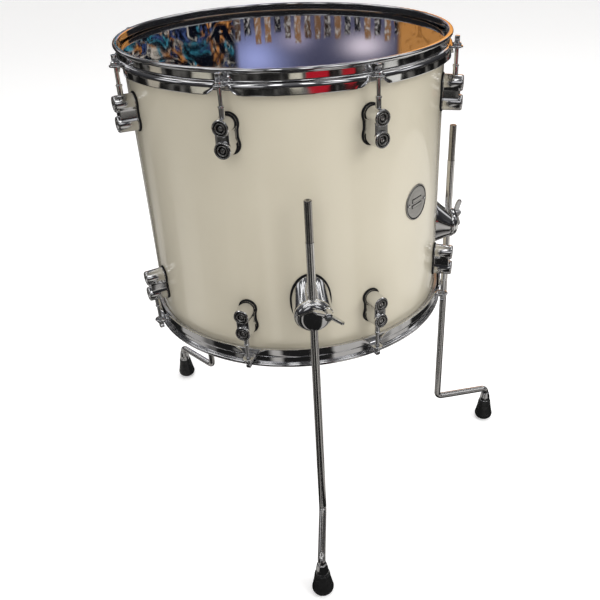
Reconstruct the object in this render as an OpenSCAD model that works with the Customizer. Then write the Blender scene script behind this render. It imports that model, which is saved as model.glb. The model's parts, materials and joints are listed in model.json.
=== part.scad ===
// Floor tom: a two-headed drum on three height-adjustable legs.
// Units are millimetres. +Z is up and the feet stand on z = 0. The origin is the middle of the
// legs' footprint, and -Y is the front. Angles are polar, counter-clockwise from +X.

/* [Shell] */
// Outside diameter of the shell
shell_d = 406.4; // [250:0.1:460]
// Shell length from bearing edge to bearing edge
shell_depth = 355.6; // [250:0.1:420]
// Wall thickness of the wooden shell
shell_wall = 6.6; // [4:0.1:12]
// Height of the shell's lower edge above the floor
shell_base = 315; // [200:1:400]

/* [Hoops] */
// How far each hoop stands past the shell's edge
hoop_rise = 9.8; // [5:0.1:15]
// Overall height of one hoop
hoop_height = 27.7; // [24:0.1:32]
// Steel thickness of the hoop
hoop_wall = 2.2; // [1.6:0.1:3]
// Distance from the shell surface to the tension rods
rod_offset = 15.8; // [14:0.1:20]

/* [Lugs] */
// Number of tension stations around each hoop
lug_count = 8; // [6:1:8]
// Distance between the two turrets of one lug
turret_pitch = 24.1; // [20:0.1:30]
// Radius of a turret at its base
turret_r = 10.4; // [8:0.1:12]
// Distance from the shell edge to the middle of a lug
lug_inset = 60.75; // [50:0.25:90]
// How far a lug stands off the shell
lug_height = 26.2; // [20:0.1:32]
// Tension rod shank radius
rod_r = 2.45; // [2:0.05:3]

/* [Legs] */
// Distance from the shell surface to a leg rod's axis
leg_offset = 25.3; // [20:0.1:35]
// Leg rod radius
leg_r = 5.2; // [4:0.1:7]
// Height of a leg rod's upper end above the floor
leg_top = 542; // [480:1:640]
// Distance from a leg rod's axis to its foot
arm_length = 90; // [50:1:120]
// Height of the horizontal arm above the floor
arm_height = 63; // [50:1:90]
// Height of the leg brackets' middle above the floor
bracket_z = 399.5; // [370:0.5:480]
// Turn of the front leg's arm away from radial, in degrees
front_turn = -8; // [-30:1:30]
// Turn of the right leg's arm away from radial, in degrees
right_turn = 5; // [-30:1:30]
// Turn of the rear leg's arm away from radial, in degrees
rear_turn = -5.5; // [-30:0.5:30]

/* [Output] */
// Which piece to draw, or all of them

/* [Hidden] */
$fn = 96;
fit = 0.05;               // running clearance on a radius
skin = 0.5;               // how far cutters run past a surface

shell_r = shell_d / 2;
shell_in_r = shell_r - shell_wall;
shell_top = shell_base + shell_depth;
shell_mid = shell_base + shell_depth / 2;
edge_round = 1.6;         // width of the outer counter-cut on a bearing edge
edge_flat = 0.8;          // flat crest of a bearing edge

// Hoop section, measured from the hoop's outer face at z = 0 going down.
hoop_r = shell_r + 3;     // inside of the upright wall
bead_r = 2.4;             // rolled bead around the rim
lip_r = 2;                // rounding between wall and top flange
bead_x = hoop_r + 4.1;
shoulder_r = 5.6;         // outside radius of the rounded shoulder
shoulder_x = hoop_r + 1.2;
shoulder_z = -19.6;
skirt_r = shoulder_x + shoulder_r;
ear_top = -14.3;
ear_t = 2.3;
ear_r = 7.6;
ear_hole_r = 3.3;
rod_x = shell_r + rod_offset;
notch_top = 8;            // half width of the skirt notch under the ear
notch_low = 22;           // half width of the notch at the skirt's edge

// Drumheads
film_t = 0.25;
film_in = shell_r + 0.15;
film_out = film_in + film_t;
collar_h = 13;
flesh_in = film_out + fit;
flesh_out = hoop_r + 2.6;
flesh_drop = 16.6;        // flesh hoop's face below the hoop's face
flesh_h = 7.5;

// Tension rods, counted from the front left one
lug_step = 360 / lug_count;
lug_first = -90 - lug_step / 2;
washer_t = 1.4;
head_r = 5.3;
head_h = 2.6;
drive_w = 6;
drive_h = 7.6;
rod_tail = 3;             // how far a rod ends past the lug's middle
nut_r = 3.3;
nut_collar_r = 3.9;
nut_head_r = 4.8;
nut_head_h = 6;
nut_reach = 22;           // sleeve end, measured from the turret's axis

// Lug castings
gasket_t = 2;
seat_r = shell_r + gasket_t;
half_pitch = turret_pitch / 2;
turret_tip_r = turret_r - 0.8;
web_w = 8;                // half width of the waist between the turrets
web_drop = 3.6;           // how far the waist sits behind the turrets' faces
face_x = shell_r + lug_height;
screw_r = 1.95;
screw_tip = 9;            // screw tip's distance from the shell surface

// Leg brackets
oval_w = 24;
oval_h = 35.5;
jaw_w = 23.5;             // half width and half height where the clamp is split
jaw_h = 21.3;
jaw_z = -5.5;
split_gap = 0.5;          // half the gap between casting and jaw
bolt_y = 16.5;
bolt_z = 1;
bolt_r = 2.95;
bolt_end = 50;
spot_x = 33;              // seat of the wing nut, from the shell surface
spot_r = 7.6;
bracket_screw_z = 24;
bracket_screw_r = 2.9;

// Legs
tip_r = leg_r - 0.4;
tip_len = 51;
bend_r = 8;
rubber_h = 37;
rubber_r = 15;
leg_x = shell_r + leg_offset;
leg_at = [-90, 0, 135];
leg_turn = [front_turn, right_turn, rear_turn];
nut_turn = [-30, 90, 10];
foot_x = [for (i = [0:2]) leg_x * cos(leg_at[i]) + arm_length * cos(leg_at[i] + leg_turn[i])];
foot_y = [for (i = [0:2]) leg_x * sin(leg_at[i]) + arm_length * sin(leg_at[i] + leg_turn[i])];
drum_x = -(max(foot_x) + min(foot_x)) / 2;
drum_y = -(max(foot_y) + min(foot_y)) / 2;

// Badge
badge_r = 23;
badge_at = -45;
rivet_y = 17.5;

// Colours
ivory = [0.84, 0.81, 0.72];
steel = [0.8, 0.8, 0.82];
black = [0.07, 0.07, 0.08];
clear = [0.85, 0.88, 0.92, 0.35];

// ---- Placing -------------------------------------------------------------------------

// Moves a piece drawn about the drum's axis to where the drum stands.
module in_drum() {
  translate([drum_x, drum_y, 0]) children();
}

// Repeats a piece drawn on +X at every tension station.
module at_lugs() {
  for (k = [0 : lug_count - 1])
    rotate([0, 0, lug_first + k * lug_step]) children();
}

// Stands a piece drawn for the batter side on the upper hoop's level.
module upper_side() {
  in_drum() translate([0, 0, shell_top]) children();
}

// The same piece upside down, for the resonant side.
module lower_side() {
  in_drum() translate([0, 0, shell_base]) mirror([0, 0, 1]) children();
}

// Places a piece drawn on +X at one leg, with z = 0 at the bracket's middle.
module at_bracket(i) {
  in_drum() translate([0, 0, bracket_z]) rotate([0, 0, leg_at[i]]) children();
}

// Places a piece drawn about a leg rod's axis, standing on the floor, arm along +X.
module at_leg(i) {
  in_drum()
    rotate([0, 0, leg_at[i]])
      translate([leg_x, 0, 0])
        rotate([0, 0, leg_turn[i]]) children();
}

// Turns a flat outline so that its x is the width, its y is up, and it is extruded outward.
module outward(from, len) {
  translate([from, 0, 0]) rotate([90, 0, 90]) linear_extrude(height = len) children();
}

// A rod along +X.
module rod_out(from, len, r1, r2) {
  translate([from, 0, 0]) rotate([0, 90, 0]) cylinder(h = len, r1 = r1, r2 = r2);
}

// ---- Shell ---------------------------------------------------------------------------

module shell() {
  crest_out = shell_r - edge_round;
  crest_in = crest_out - edge_flat;
  bevel = crest_in - shell_in_r;
  color(ivory) in_drum() difference() {
    translate([0, 0, shell_base]) rotate_extrude() polygon([
      [crest_in, 0], [crest_out, 0], [shell_r, edge_round],
      [shell_r, shell_depth - edge_round], [crest_out, shell_depth],
      [crest_in, shell_depth], [shell_in_r, shell_depth - bevel], [shell_in_r, bevel]]);
    for (z = [shell_top - lug_inset, shell_base + lug_inset])
      for (s = [-1, 1])
        translate([0, 0, z + s * half_pitch]) at_lugs()
          rod_out(shell_in_r - 2, shell_wall + 4, screw_r + 0.4, screw_r + 0.4);
    for (a = leg_at)
      for (s = [-1, 1])
        rotate([0, 0, a]) translate([0, 0, bracket_z + s * bracket_screw_z])
          rod_out(shell_in_r - 2, shell_wall + 4, bracket_screw_r + 0.4, bracket_screw_r + 0.4);
  }
}

// ---- Badge ---------------------------------------------------------------------------

// A round plate bent to the shell, from radius r1 to r2 of the shell's axis.
module bent_disc(r, r1, r2) {
  intersection() {
    rod_out(shell_r - 10, 20, r, r);
    difference() {
      cylinder(h = 80, r = r2, center = true);
      cylinder(h = 82, r = r1, center = true);
    }
  }
}

module at_badge() {
  in_drum() translate([0, 0, shell_mid]) rotate([0, 0, badge_at]) children();
}

module badge() {
  color(steel) at_badge() difference() {
    bent_disc(badge_r, shell_r, shell_r + 1.6);
    difference() {
      bent_disc(badge_r - 1.6, shell_r + 1, shell_r + 3);
      rod_out(shell_r - 12, 24, badge_r - 9, badge_r - 9);
    }
    bent_disc(badge_r - 10, shell_r + 1.2, shell_r + 3);
    for (s = [-1, 1])
      translate([0, s * rivet_y, 0]) rod_out(shell_r - 12, 24, 1.5, 1.5);
  }
}

module badge_rivets() {
  rivet_x = sqrt(pow(shell_r + 1, 2) - rivet_y * rivet_y);
  color(steel) at_badge() for (s = [-1, 1]) translate([0, s * rivet_y, 0]) {
    rod_out(rivet_x - 0.8, 1.4, 1.4, 1.4);
    rod_out(rivet_x + 0.4, 1, 2.4, 1.3);
  }
}

// ---- Hoops ---------------------------------------------------------------------------

// Half section of a triple-flanged hoop; x is the radius and y = 0 the playing rim.
module hoop_section() {
  translate([bead_x, -bead_r]) circle(r = bead_r);
  translate([hoop_r + lip_r, -hoop_wall]) square([bead_x - hoop_r - lip_r, hoop_wall]);
  intersection() {
    translate([hoop_r + lip_r, -lip_r]) circle(r = lip_r);
    translate([hoop_r, -lip_r]) square(lip_r);
  }
  wall_low = shoulder_z + shoulder_r - hoop_wall;
  translate([hoop_r, wall_low]) square([hoop_wall, -lip_r - wall_low]);
  intersection() {
    difference() {
      translate([shoulder_x, shoulder_z]) circle(r = shoulder_r);
      translate([shoulder_x, shoulder_z]) circle(r = shoulder_r - hoop_wall);
    }
    translate([shoulder_x, shoulder_z]) square(shoulder_r + skin);
  }
  translate([skirt_r - hoop_wall, -hoop_height])
    square([hoop_wall, hoop_height + shoulder_z]);
}

// One counter-hoop with an ear for every tension rod, rim at z = 0.
module hoop() {
  difference() {
    union() {
      rotate_extrude() hoop_section();
      at_lugs() translate([0, 0, ear_top - ear_t]) linear_extrude(height = ear_t) {
        translate([rod_x, 0]) circle(r = ear_r);
        translate([hoop_r + 1.4, -ear_r]) square([rod_x - hoop_r - 1.4, 2 * ear_r]);
      }
    }
    at_lugs() {
      translate([rod_x, 0, ear_top - ear_t - skin])
        cylinder(h = ear_t + 2 * skin, r = ear_hole_r);
      outward(hoop_r + hoop_wall + 0.6, skirt_r - hoop_r) polygon([
        [-notch_top, ear_top - ear_t], [notch_top, ear_top - ear_t],
        [notch_low, -hoop_height - skin], [-notch_low, -hoop_height - skin]]);
    }
  }
}

module batter_hoop() {
  color(steel) upper_side() translate([0, 0, hoop_rise]) hoop();
}

module resonant_hoop() {
  color(steel) lower_side() translate([0, 0, hoop_rise]) hoop();
}

// ---- Drumheads -----------------------------------------------------------------------

// The clear film: a flat disc on the bearing edge with a collar down outside the shell.
module head_film() {
  rotate_extrude() polygon([
    [0, 0], [film_in, 0], [film_in, -collar_h], [film_out, -collar_h],
    [film_out, film_t], [0, film_t]]);
}

// The metal ring that holds the film's rim and is pressed down by the hoop.
module flesh_hoop() {
  rotate_extrude() translate([flesh_in, hoop_rise - flesh_drop - flesh_h])
    square([flesh_out - flesh_in, flesh_h]);
}

module batter_head() {
  color(clear) upper_side() head_film();
}

module resonant_head() {
  color(clear) lower_side() head_film();
}

module batter_flesh_hoop() {
  color(steel) upper_side() flesh_hoop();
}

module resonant_flesh_hoop() {
  color(steel) lower_side() flesh_hoop();
}

// ---- Lugs ----------------------------------------------------------------------------
// A lug is drawn on +X with z = 0 at its middle and its rod entering from above.

module peanut(r, waist) {
  for (s = [-1, 1]) translate([0, s * half_pitch]) circle(r = r);
  square([2 * waist, turret_pitch], center = true);
}

module lug_gasket() {
  difference() {
    intersection() {
      outward(shell_r - 3, 3 + gasket_t + 1) peanut(turret_r + 1.7, web_w + 1.9);
      difference() {
        cylinder(h = 60, r = seat_r, center = true);
        cylinder(h = 62, r = shell_r, center = true);
      }
    }
    for (s = [-1, 1]) translate([0, 0, s * half_pitch])
      rod_out(shell_r - 4, 10, screw_r + 0.4, screw_r + 0.4);
  }
}

// Rings and dish sunk in the end of one turret.
module turret_face() {
  rod_out(face_x - 2.4, 2.4 + skin, 4.2, 5.2);
  difference() {
    rod_out(face_x - 0.8, 0.8 + skin, 7.8, 7.8);
    rod_out(face_x - 1, 1 + 2 * skin, 6.7, 6.7);
  }
}

module lug_casting() {
  difference() {
    union() {
      outward(shell_r + 1, 4.2) peanut(turret_r + 0.3, web_w + 0.6);
      for (s = [-1, 1]) translate([0, 0, s * half_pitch]) {
        rod_out(shell_r + 1, lug_height - 2, turret_r, turret_tip_r);
        rod_out(face_x - 1, 1, turret_tip_r, turret_tip_r - 0.9);
      }
      translate([shell_r + 1, -web_w, -half_pitch])
        cube([lug_height - web_drop - 1, 2 * web_w, turret_pitch]);
    }
    cylinder(h = 80, r = seat_r, center = true);
    for (s = [-1, 1]) translate([0, 0, s * half_pitch]) {
      turret_face();
      rod_out(shell_r, screw_tip + skin, screw_r + fit, screw_r + fit);
    }
    // Bore for the swivel nut's sleeve, open at the top
    translate([rod_x, 0, half_pitch - 4 - skin]) cylinder(h = 30, r = nut_r + fit);
    // Pocket for the nut's head, open at the back of the casting
    translate([seat_r - 2, -nut_head_r - 0.2, half_pitch - 4 - nut_head_h - 0.2])
      cube([rod_x - seat_r + 2, 2 * nut_head_r + 0.4, nut_head_h + 0.3]);
    translate([rod_x, 0, half_pitch - 4 - nut_head_h - 0.2])
      cylinder(h = nut_head_h + 0.3, r = nut_head_r + 0.2);
    // Room for the rod's end
    translate([rod_x, 0, -rod_tail - 2]) cylinder(h = half_pitch, r = rod_r + 0.6);
  }
}

module swivel_nut() {
  translate([rod_x, 0, half_pitch]) difference() {
    union() {
      translate([0, 0, -4 - nut_head_h]) cylinder(h = nut_head_h, r = nut_head_r);
      translate([0, 0, -4]) cylinder(h = nut_reach + 4, r = nut_r);
      translate([0, 0, nut_reach - 1.8]) cylinder(h = 1.8, r = nut_collar_r);
    }
    translate([0, 0, -12]) cylinder(h = nut_reach + 14, r = rod_r + fit);
  }
}

// Two mounting screws of one lug, with their washers, driven from inside the shell.
module lug_screw_pair() {
  seat = shell_in_r - 0.1;
  for (s = [-1, 1]) translate([0, 0, s * half_pitch]) {
    rod_out(seat - 1, 1, 5, 5);
    rod_out(seat - 4, 3, 3, 3.9);
    rod_out(seat - 1, shell_r + screw_tip - seat + 1, screw_r, screw_r);
  }
}

module at_upper_lugs() {
  upper_side() translate([0, 0, -lug_inset]) at_lugs() children();
}

module at_lower_lugs() {
  lower_side() translate([0, 0, -lug_inset]) at_lugs() children();
}

module upper_lugs() {
  color(steel) at_upper_lugs() lug_casting();
}

module lower_lugs() {
  color(steel) at_lower_lugs() lug_casting();
}

module upper_lug_gaskets() {
  color(black) at_upper_lugs() lug_gasket();
}

module lower_lug_gaskets() {
  color(black) at_lower_lugs() lug_gasket();
}

module upper_swivel_nuts() {
  color(steel) at_upper_lugs() swivel_nut();
}

module lower_swivel_nuts() {
  color(steel) at_lower_lugs() swivel_nut();
}

module lug_screws() {
  color(steel) at_upper_lugs() lug_screw_pair();
  color(steel) at_lower_lugs() lug_screw_pair();
}

// ---- Tension rods --------------------------------------------------------------------

// One tension rod with its flanged square head, drawn at x = rod_x; z = 0 is the shell edge.
module tension_rod() {
  seat = hoop_rise + ear_top + washer_t + fit;
  tail = -lug_inset - rod_tail;
  translate([rod_x, 0, 0]) {
    translate([0, 0, tail + 1]) cylinder(h = seat - tail - 1, r = rod_r);
    translate([0, 0, tail]) cylinder(h = 1, r1 = rod_r - 0.8, r2 = rod_r);
    translate([0, 0, seat]) cylinder(h = head_h - 0.8, r = head_r);
    translate([0, 0, seat + head_h - 0.8]) cylinder(h = 0.8, r1 = head_r, r2 = drive_w / 2);
    intersection() {
      translate([-drive_w / 2, -drive_w / 2, seat + head_h - 1])
        cube([drive_w, drive_w, drive_h + 1]);
      translate([0, 0, seat + head_h - 2])
        cylinder(h = drive_h + 2, r1 = drive_w, r2 = drive_w * 0.62);
    }
  }
}

module rod_washer() {
  translate([rod_x, 0, hoop_rise + ear_top]) difference() {
    cylinder(h = washer_t, r = head_r + 0.4);
    translate([0, 0, -skin]) cylinder(h = washer_t + 2 * skin, r = rod_r + 0.2);
  }
}

module upper_rod(k) {
  color(steel) upper_side() rotate([0, 0, lug_first + k * lug_step]) tension_rod();
}

module lower_rod(k) {
  color(steel) lower_side() rotate([0, 0, lug_first + k * lug_step]) tension_rod();
}

module upper_rod_washers() {
  color(steel) upper_side() at_lugs() rod_washer();
}

module lower_rod_washers() {
  color(steel) lower_side() at_lugs() rod_washer();
}

module upper_tension_rod_1() { upper_rod(0); }
module upper_tension_rod_2() { upper_rod(1); }
module upper_tension_rod_3() { upper_rod(2); }
module upper_tension_rod_4() { upper_rod(3); }
module upper_tension_rod_5() { upper_rod(4); }
module upper_tension_rod_6() { upper_rod(5); }
module upper_tension_rod_7() { upper_rod(6); }
module upper_tension_rod_8() { upper_rod(7); }
module lower_tension_rod_1() { lower_rod(0); }
module lower_tension_rod_2() { lower_rod(1); }
module lower_tension_rod_3() { lower_rod(2); }
module lower_tension_rod_4() { lower_rod(3); }
module lower_tension_rod_5() { lower_rod(4); }
module lower_tension_rod_6() { lower_rod(5); }
module lower_tension_rod_7() { lower_rod(6); }
module lower_tension_rod_8() { lower_rod(7); }

// ---- Leg brackets --------------------------------------------------------------------
// Drawn on +X with z = 0 at the bracket's middle.

module oval(w, h) {
  polygon([for (a = [0 : 6 : 354]) [w * cos(a), h * sin(a)]]);
}

// An oval slice facing outward, u from the shell surface and t thick, its middle at height z.
module slice(u, t, w, h, z) {
  outward(shell_r + u, t) translate([0, z]) oval(w, h);
}

module bracket_screw_holes(r) {
  for (s = [-1, 1]) translate([0, 0, s * bracket_screw_z]) rod_out(shell_r - 2, 10.5, r, r);
}

module bracket_gasket() {
  difference() {
    intersection() {
      outward(shell_r - 3, 6 + gasket_t) oval(oval_w + 2, oval_h + 2);
      difference() {
        cylinder(h = 100, r = seat_r, center = true);
        cylinder(h = 102, r = shell_r, center = true);
      }
    }
    bracket_screw_holes(bracket_screw_r + 0.4);
  }
}

module bracket_casting() {
  difference() {
    hull() {
      slice(0, 5, oval_w, oval_h, 0);
      slice(leg_offset - split_gap - 3, 3, jaw_w, jaw_h, jaw_z);
    }
    cylinder(h = 100, r = seat_r, center = true);
    translate([leg_x, 0, -60]) cylinder(h = 120, r = leg_r + fit);
    bracket_screw_holes(bracket_screw_r + fit);
    translate([0, bolt_y, bolt_z]) {
      rod_out(shell_r, 60, bolt_r + fit, bolt_r + fit);
      rod_out(shell_r, 8.6, 5.3, 5.3);
    }
  }
}

// The front half of the clamp, pulled against the leg rod by the wing nut.
module clamp_jaw() {
  difference() {
    hull() {
      slice(leg_offset + split_gap, 3.5, jaw_w, jaw_h, jaw_z);
      slice(33, 1, jaw_w - 1.5, jaw_h - 2, jaw_z);
      slice(36.5, 0.5, jaw_w - 5, jaw_h - 5.5, jaw_z);
      slice(38, 0.6, jaw_w - 9, jaw_h - 9.5, jaw_z);
    }
    translate([leg_x, 0, -60]) cylinder(h = 120, r = leg_r + fit);
    translate([0, bolt_y, bolt_z]) {
      rod_out(shell_r, 60, bolt_r + 0.2, bolt_r + 0.2);
      rod_out(shell_r + spot_x, 20, spot_r, spot_r);
    }
  }
}

module clamp_bolt() {
  translate([0, bolt_y, bolt_z]) {
    translate([shell_r + 4.4, 0, 0]) rotate([0, 90, 0]) cylinder(h = 4.1, r = 5.1, $fn = 6);
    rod_out(shell_r + 8, bolt_end - 9, bolt_r, bolt_r);
    rod_out(shell_r + bolt_end - 1, 1, bolt_r, bolt_r - 0.8);
  }
}

module bracket_screw_pair() {
  seat = shell_in_r - 0.2;
  for (s = [-1, 1]) translate([0, 0, s * bracket_screw_z]) {
    rod_out(seat - 1.4, 1.4, 7, 7);
    translate([seat - 5.4, 0, 0]) rotate([0, 90, 0]) cylinder(h = 4, r = 5.4, $fn = 6);
    rod_out(seat - 1.4, shell_r + 8 - seat + 1.4, bracket_screw_r, bracket_screw_r);
  }
}

// Wing nut on the clamp bolt, its wings turned by the given angle about the bolt.
module wing_nut(turn) {
  wing_t = 3.4;
  translate([shell_r + spot_x + fit, bolt_y, bolt_z]) rotate([turn, 0, 0]) difference() {
    union() {
      rotate([0, 90, 0]) cylinder(h = 2, r = 6.8);
      rotate([0, 90, 0]) cylinder(h = 15, r1 = 6.4, r2 = 5);
      for (s = [0, 180]) rotate([s, 0, 0]) translate([0, 0, -wing_t / 2])
        linear_extrude(height = wing_t)
          polygon([[6.3, 3.6], [6.4, 8], [8, 14], [9.8, 19], [12, 21.6], [14.8, 22],
            [17, 20.2], [17.6, 17], [16.2, 12.5], [14.2, 8.5], [13.4, 3.6]]);
    }
    translate([-skin, 0, 0]) rotate([0, 90, 0]) cylinder(h = 20, r = bolt_r + fit);
  }
}

module front_leg_bracket() {
  color(steel) at_bracket(0) bracket_casting();
}

module right_leg_bracket() {
  color(steel) at_bracket(1) bracket_casting();
}

module rear_leg_bracket() {
  color(steel) at_bracket(2) bracket_casting();
}

module leg_bracket_gaskets() {
  color(black) for (i = [0:2]) at_bracket(i) bracket_gasket();
}

module leg_bracket_screws() {
  color(steel) for (i = [0:2]) at_bracket(i) bracket_screw_pair();
}

module clamp_jaws() {
  color(steel) for (i = [0:2]) at_bracket(i) clamp_jaw();
}

module clamp_bolts() {
  color(steel) for (i = [0:2]) at_bracket(i) clamp_bolt();
}

module front_wing_nut() {
  color(steel) at_bracket(0) wing_nut(nut_turn[0]);
}

module right_wing_nut() {
  color(steel) at_bracket(1) wing_nut(nut_turn[1]);
}

module rear_wing_nut() {
  color(steel) at_bracket(2) wing_nut(nut_turn[2]);
}

// ---- Legs ----------------------------------------------------------------------------
// Drawn about the rod's axis with the floor at z = 0 and the arm along +X.

module bend() {
  rotate([90, 0, 0]) rotate_extrude(angle = 90) translate([bend_r, 0]) circle(r = leg_r);
}

module leg_rod() {
  rod_low = arm_height + bend_r;
  stub_top = arm_height - bend_r;
  difference() {
    union() {
      translate([0, 0, leg_top - 1]) cylinder(h = 1, r1 = tip_r, r2 = tip_r - 0.8);
      translate([0, 0, leg_top - tip_len]) cylinder(h = tip_len - 1, r = tip_r);
      translate([0, 0, rod_low]) cylinder(h = leg_top - tip_len - rod_low, r = leg_r);
      translate([bend_r, 0, rod_low]) rotate([0, 180, 0]) bend();
      translate([bend_r, 0, arm_height]) rotate([0, 90, 0])
        cylinder(h = arm_length - 2 * bend_r, r = leg_r);
      translate([arm_length - bend_r, 0, stub_top]) bend();
      translate([arm_length, 0, rubber_h - 7]) cylinder(h = stub_top - rubber_h + 7, r = leg_r);
    }
    translate([0, 0, leg_top - 6]) cylinder(h = 7, r = 1.8);
  }
}

module ferrule() {
  top = arm_height - bend_r - 1;
  bore = leg_r + fit;
  translate([arm_length, 0, 0]) rotate_extrude() polygon([
    [bore, rubber_h], [9.2, rubber_h], [9.2, rubber_h + 2], [8.6, rubber_h + 8],
    [6.6, top], [bore, top]]);
}

// Pear-shaped rubber foot with a flat underside.
module foot() {
  tread_r = 6;
  round_r = rubber_r - tread_r;
  translate([arm_length, 0, 0]) difference() {
    rotate_extrude() {
      square([tread_r, 2 * round_r]);
      intersection() {
        translate([tread_r, round_r]) circle(r = round_r);
        translate([tread_r, 0]) square([round_r + skin, 2 * round_r]);
      }
      polygon([[0, round_r], [rubber_r - 0.36, round_r + 2.5], [10.6, rubber_h - 0.05],
        [0, rubber_h - 0.05]]);
    }
    translate([0, 0, rubber_h - 7.1]) cylinder(h = 9, r = leg_r + fit);
  }
}

module front_leg_rod() {
  color(steel) at_leg(0) leg_rod();
}

module right_leg_rod() {
  color(steel) at_leg(1) leg_rod();
}

module rear_leg_rod() {
  color(steel) at_leg(2) leg_rod();
}

module front_leg_ferrule() {
  color(steel) at_leg(0) ferrule();
}

module right_leg_ferrule() {
  color(steel) at_leg(1) ferrule();
}

module rear_leg_ferrule() {
  color(steel) at_leg(2) ferrule();
}

module front_foot() {
  color(black) at_leg(0) foot();
}

module right_foot() {
  color(black) at_leg(1) foot();
}

module rear_foot() {
  color(black) at_leg(2) foot();
}

// ---- Drawing -------------------------------------------------------------------------

shell();
badge();
badge_rivets();
batter_hoop();
resonant_hoop();
batter_head();
batter_flesh_hoop();
resonant_head();
resonant_flesh_hoop();
upper_lugs();
lower_lugs();
upper_lug_gaskets();
lower_lug_gaskets();
upper_swivel_nuts();
lower_swivel_nuts();
lug_screws();
upper_rod_washers();
lower_rod_washers();
upper_tension_rod_1();
upper_tension_rod_2();
upper_tension_rod_3();
upper_tension_rod_4();
upper_tension_rod_5();
upper_tension_rod_6();
upper_tension_rod_7();
upper_tension_rod_8();
lower_tension_rod_1();
lower_tension_rod_2();
lower_tension_rod_3();
lower_tension_rod_4();
lower_tension_rod_5();
lower_tension_rod_6();
lower_tension_rod_7();
lower_tension_rod_8();
front_leg_bracket();
right_leg_bracket();
rear_leg_bracket();
leg_bracket_gaskets();
leg_bracket_screws();
clamp_jaws();
clamp_bolts();
front_wing_nut();
right_wing_nut();
rear_wing_nut();
front_leg_rod();
right_leg_rod();
rear_leg_rod();
front_leg_ferrule();
right_leg_ferrule();
rear_leg_ferrule();
front_foot();
right_foot();
rear_foot();
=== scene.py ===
import bpy
import bmesh
import json
import math
from mathutils import Matrix, Vector


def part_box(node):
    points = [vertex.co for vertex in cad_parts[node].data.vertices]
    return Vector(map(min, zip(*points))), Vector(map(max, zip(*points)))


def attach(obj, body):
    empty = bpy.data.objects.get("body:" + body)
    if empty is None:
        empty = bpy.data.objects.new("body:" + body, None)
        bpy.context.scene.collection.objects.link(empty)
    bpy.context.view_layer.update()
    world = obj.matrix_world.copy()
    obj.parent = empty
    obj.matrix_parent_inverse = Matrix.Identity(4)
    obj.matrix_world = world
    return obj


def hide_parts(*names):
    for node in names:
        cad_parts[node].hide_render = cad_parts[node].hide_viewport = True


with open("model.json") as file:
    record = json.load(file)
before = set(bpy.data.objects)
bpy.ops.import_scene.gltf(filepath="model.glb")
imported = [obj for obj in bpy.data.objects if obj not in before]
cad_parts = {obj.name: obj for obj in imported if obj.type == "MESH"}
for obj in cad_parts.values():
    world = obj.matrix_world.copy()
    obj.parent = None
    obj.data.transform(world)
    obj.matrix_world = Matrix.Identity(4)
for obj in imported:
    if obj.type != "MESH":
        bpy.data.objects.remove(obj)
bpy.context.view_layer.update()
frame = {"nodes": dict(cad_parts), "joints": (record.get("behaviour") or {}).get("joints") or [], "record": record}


nodes = frame["nodes"]
record = frame["record"]
joints = {j["name"]: j for j in frame["joints"]}
mounts = {m["name"]: m for m in record["mounts"]}

# ---- Places, in millimetres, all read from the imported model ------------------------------


def mm_box(node):
    lo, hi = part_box(node)
    return [v * 1000 for v in lo], [v * 1000 for v in hi]


lo, hi = mm_box("shell")
AX, AY = (lo[0] + hi[0]) / 2, (lo[1] + hi[1]) / 2
SHELL_R = (hi[0] - lo[0]) / 2
Z_BASE, Z_TOP = lo[2], hi[2]
HOOP_TOP = mm_box("batter_hoop")[1][2]
RISE = HOOP_TOP - Z_TOP
SIDES = ("upper", "lower")
LEGS = ("front", "right", "rear")


def polar(name):
    x, y, z = [v * 1000 for v in joints[name]["pos_m"]]
    return math.degrees(math.atan2(y - AY, x - AX)), math.hypot(x - AX, y - AY)


ROD_AT = [polar(f"upper_tension_rod_{k}_turn")[0] for k in range(1, 9)]
ROD_X = polar("upper_tension_rod_1_turn")[1]


def at(angle, z=0.0, flip=False):
    """A frame on the drum at a polar angle: +X outward, +Z up, or down when flipped."""
    m = Matrix.Translation((AX, AY, z)) @ Matrix.Rotation(math.radians(angle), 4, "Z")
    if flip:
        m = m @ Matrix.Diagonal((1, 1, -1, 1))
    return m


def side_at(side, angle):
    """The same, with z = 0 at the shell's edge on that side and +Z towards its hoop."""
    return at(angle, Z_TOP if side == "upper" else Z_BASE, side == "lower")


OUT = Matrix.Rotation(math.radians(90), 4, "Y")  # turns a lathe's axis to point outward

# ---- Mesh tools ---------------------------------------------------------------------------


def arc(cx, cy, r, a0, a1, n):
    return [(cx + r * math.cos(math.radians(a0 + (a1 - a0) * i / n)),
             cy + r * math.sin(math.radians(a0 + (a1 - a0) * i / n))) for i in range(n + 1)]


def rounded(points, n=4, closed=False):
    """Rounds the corners of an outline. Each point is (x, y) or (x, y, radius)."""
    out = []
    count = len(points)
    for i, p in enumerate(points):
        r = p[2] if len(p) > 2 else 0
        if r <= 0 or (not closed and i in (0, count - 1)):
            out.append((p[0], p[1]))
            continue
        c = Vector(p[:2])
        a = Vector(points[i - 1][:2]) - c
        b = Vector(points[(i + 1) % count][:2]) - c
        la, lb = a.length, b.length
        a.normalize()
        b.normalize()
        half = math.acos(max(-1, min(1, a.dot(b)))) / 2
        if half > math.pi / 2 - 0.01:
            out.append((p[0], p[1]))
            continue
        reach = min(r / math.tan(half), la * 0.49, lb * 0.49)
        rr = reach * math.tan(half)
        centre = c + (a + b).normalized() * (rr / math.sin(half))
        v0 = c + a * reach - centre
        v1 = c + b * reach - centre
        turn = math.atan2(v0.x * v1.y - v0.y * v1.x, v0.dot(v1))
        for k in range(n + 1):
            t = turn * k / n
            out.append((centre.x + v0.x * math.cos(t) - v0.y * math.sin(t),
                        centre.y + v0.x * math.sin(t) + v0.y * math.cos(t)))
    return out


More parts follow.
